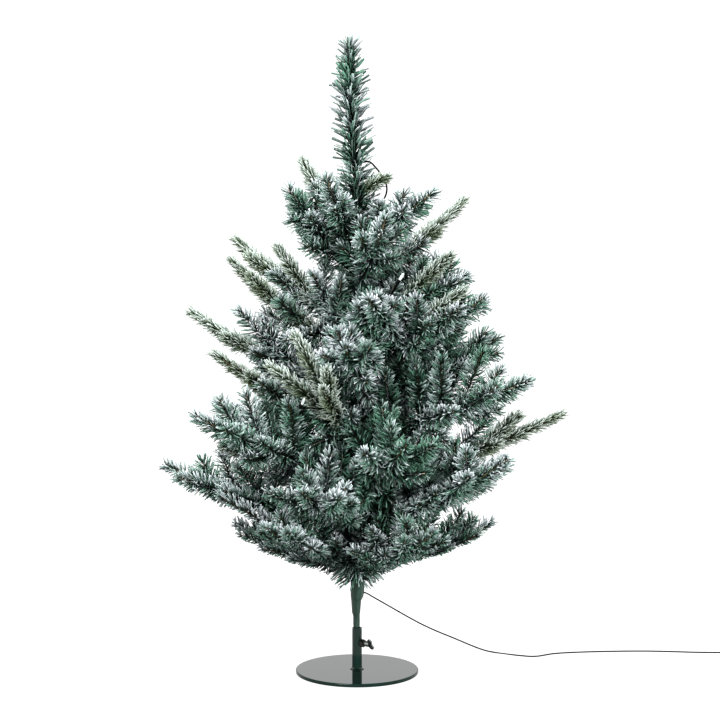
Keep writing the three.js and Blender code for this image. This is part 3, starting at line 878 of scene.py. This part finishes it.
def trunk_foliage():
    """Dark needles, painted shade of the tree's core, that hide the trunk between the branches, and
    longer ones at its foot.
    """
    rng = np.random.default_rng(SEED + 200)
    builder = Builder()
    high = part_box("trunk_wrap")[1].z
    brush(builder, upright((*TRUNK_HEIGHTS, high), 12), TRUNK, TRUNK_FROST, rng, wire=False)
    brush(builder, upright(SKIRT_HEIGHTS, 4), SKIRT, SKIRT_FROST, rng, wire=False)
    brush(builder, upright(FOOT_HEIGHTS, 6), FOOT, FOOT_FROST, rng, wire=False)
    piece = builder.build("foliage_trunk", NEEDLES, palette=True)
    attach(piece, "trunk")


def trunk_wrap():
    """Film wound around the pole, gathered into lengthwise folds."""
    low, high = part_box("trunk_wrap")
    heights = np.concatenate([np.linspace(low.z, 0.15, 60), np.linspace(0.16, high.z, 40)])
    angles = np.linspace(0, 2 * math.pi, WRAP_SEGMENTS, endpoint=False)
    circle = np.stack([np.cos(angles), np.sin(angles)], -1)
    level = np.ones(WRAP_SEGMENTS)
    rings = []
    for z in heights:
        offset = np.interp(z, WRAP_PROFILE[:, 0], WRAP_PROFILE[:, 1])
        radius = np.interp(z, WRAP_PROFILE[:, 0], WRAP_PROFILE[:, 2])
        twist = WRAP_TWIST * (z - low.z)
        wide = WRAP_FOLDS[0] * np.abs(np.sin(2.5 * (angles + twist)))
        fine = WRAP_FOLDS[1] * np.abs(np.cos(5.5 * angles - 2 * twist))
        around = radius * (0.93 + (wide + fine))
        rings.append(np.column_stack([around[:, None] * circle + [offset, 0], z * level]))
    top = np.column_stack([WRAP_BORE * circle, high.z * level])
    bottom = np.column_stack([WRAP_BORE * circle, low.z * level])
    rings = [*rings, top, bottom, rings[0]]
    builder = Builder()
    builder.add(np.array(rings), grid_triangles(len(rings), WRAP_SEGMENTS))
    piece = builder.build("trunk_film", WRAP_FILM_FOLD_SHADE, smooth=40)
    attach(piece, "trunk")
    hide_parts("trunk_wrap")


# ---- stand ----
def stand_plate():
    """The plate, and its rounded rim in a less glossy copy of its paint as painted shade."""
    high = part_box("base_plate")[1]
    radius, thick = high.x, high.z
    face = radius - PLATE_CORNER
    straight = thick / 2 - PLATE_CORNER
    rim = []
    for angle in np.linspace(-math.pi / 2, math.pi / 2, 12):
        height = thick / 2 + math.sin(angle) * PLATE_CORNER + math.copysign(straight, angle)
        rim.append((face + PLATE_CORNER * math.cos(angle), height))
    parts = {
        "stand_plate": ([(0, 0), (face, 0), (face, thick), (0, thick)], STAND_PAINT),
        "stand_rim": ([(face, 0), *rim, (face, thick)], SHADED_RIM_PAINT),
    }
    for name, (profile, paint) in parts.items():
        builder = Builder()
        lathe(builder, profile, 160)
        piece = builder.build(name, paint, smooth=40)
        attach(piece, "base")
        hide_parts("base_plate")


def weld_collar():
    """The weld around the tube's foot, thick at the tube and thin at its outer edge."""
    low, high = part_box("socket_collar")
    inner, outer = WELD_BORE, high.x
    waist = (0.45 * inner + 0.55 * outer, low.z + 0.35 * (high.z - low.z))
    profile = [
        (inner, low.z), (outer, low.z), (outer, low.z + WELD_EDGE), waist,
        (inner + WELD_TOP, high.z), (inner, high.z),
    ]
    builder = Builder()
    lathe(builder, profile, 64)
    piece = builder.build("weld_collar", STAND_PAINT, smooth=50)
    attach(piece, "base")
    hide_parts("socket_collar")


leader_foliage()
trunk_foliage()
trunk_wrap()
stand_plate()
weld_collar()


# ---- light string in the branches ----
def lamp(lenses, wires, at, facing):
    """A clear lamp in its dark holder."""
    lens = at + np.outer(np.linspace(0, 1, len(LENS_OUTLINE)), facing) * LENS_LENGTH
    tube(lenses, lens, LENS_RADIUS * LENS_OUTLINE, 12)
    tube(wires, at - np.outer([1, 0.5, 0], facing) * HOLDER_LENGTH, HOLDER_RADIUS, 10)
def branch_string(branch):
    """A slack loop of the light string on one branch, with one lamp."""
    lenses, wires = Builder(), Builder()
    lift = np.array([0, 0, SLACK_UP])
    out = [
        branch.point(share * branch.length)[0] + lift * up + branch.side * SLACK_SIDE * aside
        for share, aside, up in STRING_POINTS
    ]
    if branch.key in LAMP_SPOTS:
        out.append(np.array(LAMP_SPOTS[branch.key]))
    back = [point + branch.side * STRING_GAP + lift * 0.15 for point in out]
    for route in (out, back):
        tube(wires, smooth_path(route, 26), STRING_RADIUS, 6)
    facing = unit(branch.direction(0.5) * 0.5 + branch.side * 0.5 + [0, 0, 0.7])
    lamp(lenses, wires, out[-1] + facing * HOLDER_LENGTH, facing)
    for name, builder, material in (("lamp", lenses, LAMP_LENS), ("string", wires, WIRE_GREEN)):
        piece = builder.build(f"{name}_{branch.key}", material, smooth=50)
        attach(piece, branch.name)


for key in LIT_BRANCHES:
    branch_string(branches[key])


def crown_loops():
    """The light string's loops below the leader, one piece for both."""
    builder = Builder()
    for points in CROWN_LOOPS:
        tube(builder, smooth_path(np.array(points) * MM, 60), CROWN_RADIUS, 7)
    piece = builder.build("string_crown", WIRE_GREEN, smooth=50)
    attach(piece, "trunk")


crown_loops()


# ---- CAD nodes keep their shape and take their finish here ----
FINISHES = {
    "socket_tube": TUBE_PAINT,
    "weld_nut": BLACK_STEEL, "thumb_screw": ZINC, "pole_plug": DARK_PLASTIC, "trunk_pole": POLE_STEEL,
    "light_string": WIRE_GREEN, "coil_tie": WIRE_GREEN,
    "battery_case": DARK_PLASTIC, "battery_cover": DARK_PLASTIC, "battery_switch": SWITCH_GREY,
    "contact_board": LAMINATE, "contact_plate": CONTACT_STEEL,
    "battery_cell_1": CELL_JACKET, "battery_cell_2": CELL_JACKET, "battery_cell_3": CELL_JACKET,
}
for node_name, material in FINISHES.items():
    NODES[node_name].data.materials.clear()
    NODES[node_name].data.materials.append(material)


# ---- stage and light ----
def stage_piece(piece, material):
    piece.data.materials.append(material)
    return piece


def glowing(name, color, strength):
    material = principled(name, color, 1.0, specular=0.0)
    shader = material.node_tree.nodes["Principled BSDF"]
    shader.inputs["Emission Color"].default_value = (1, 1, 1, 1)
    shader.inputs["Emission Strength"].default_value = strength
    return material


def studio_room():
    """A pale floor in a white dome. The dome is only a backdrop and lights nothing."""
    bpy.ops.mesh.primitive_circle_add(vertices=128, radius=FLOOR_RADIUS, fill_type="NGON")
    floor = stage_piece(bpy.context.object, glowing("floor_white", "#585858", FLOOR_GLOW))
    floor.name = "floor"
    floor.visible_diffuse = False
    bpy.ops.mesh.primitive_uv_sphere_add(segments=48, ring_count=24, radius=DOME_RADIUS)
    dome = stage_piece(bpy.context.object, glowing("backdrop_white", "#000000", 1.0))
    dome.name = "backdrop"
    dome.visible_diffuse = False
    dome.visible_shadow = False


def area_light(name, at, aim, size, power, mirrored):
    data = bpy.data.lights.new(name, "AREA")
    data.shape = "SQUARE"
    data.size = size
    data.energy = power
    light = bpy.data.objects.new(name, data)
    bpy.context.scene.collection.objects.link(light)
    light.location = at
    light.rotation_euler = (Vector(aim) - Vector(at)).to_track_quat("-Z", "Y").to_euler()
    light.visible_glossy = mirrored


def studio():
    scene = bpy.context.scene
    scene.view_settings.view_transform = "Standard"
    scene.view_settings.look = "Medium High Contrast"
    world = bpy.data.worlds.new("studio")
    world.use_nodes = True
    world.node_tree.nodes["Background"].inputs["Color"].default_value = (1, 1, 1, 1)
    world.node_tree.nodes["Background"].inputs["Strength"].default_value = ROOM_LIGHT
    scene.world = world
    for light in LIGHTS:
        area_light(*light)


studio_room()
studio()
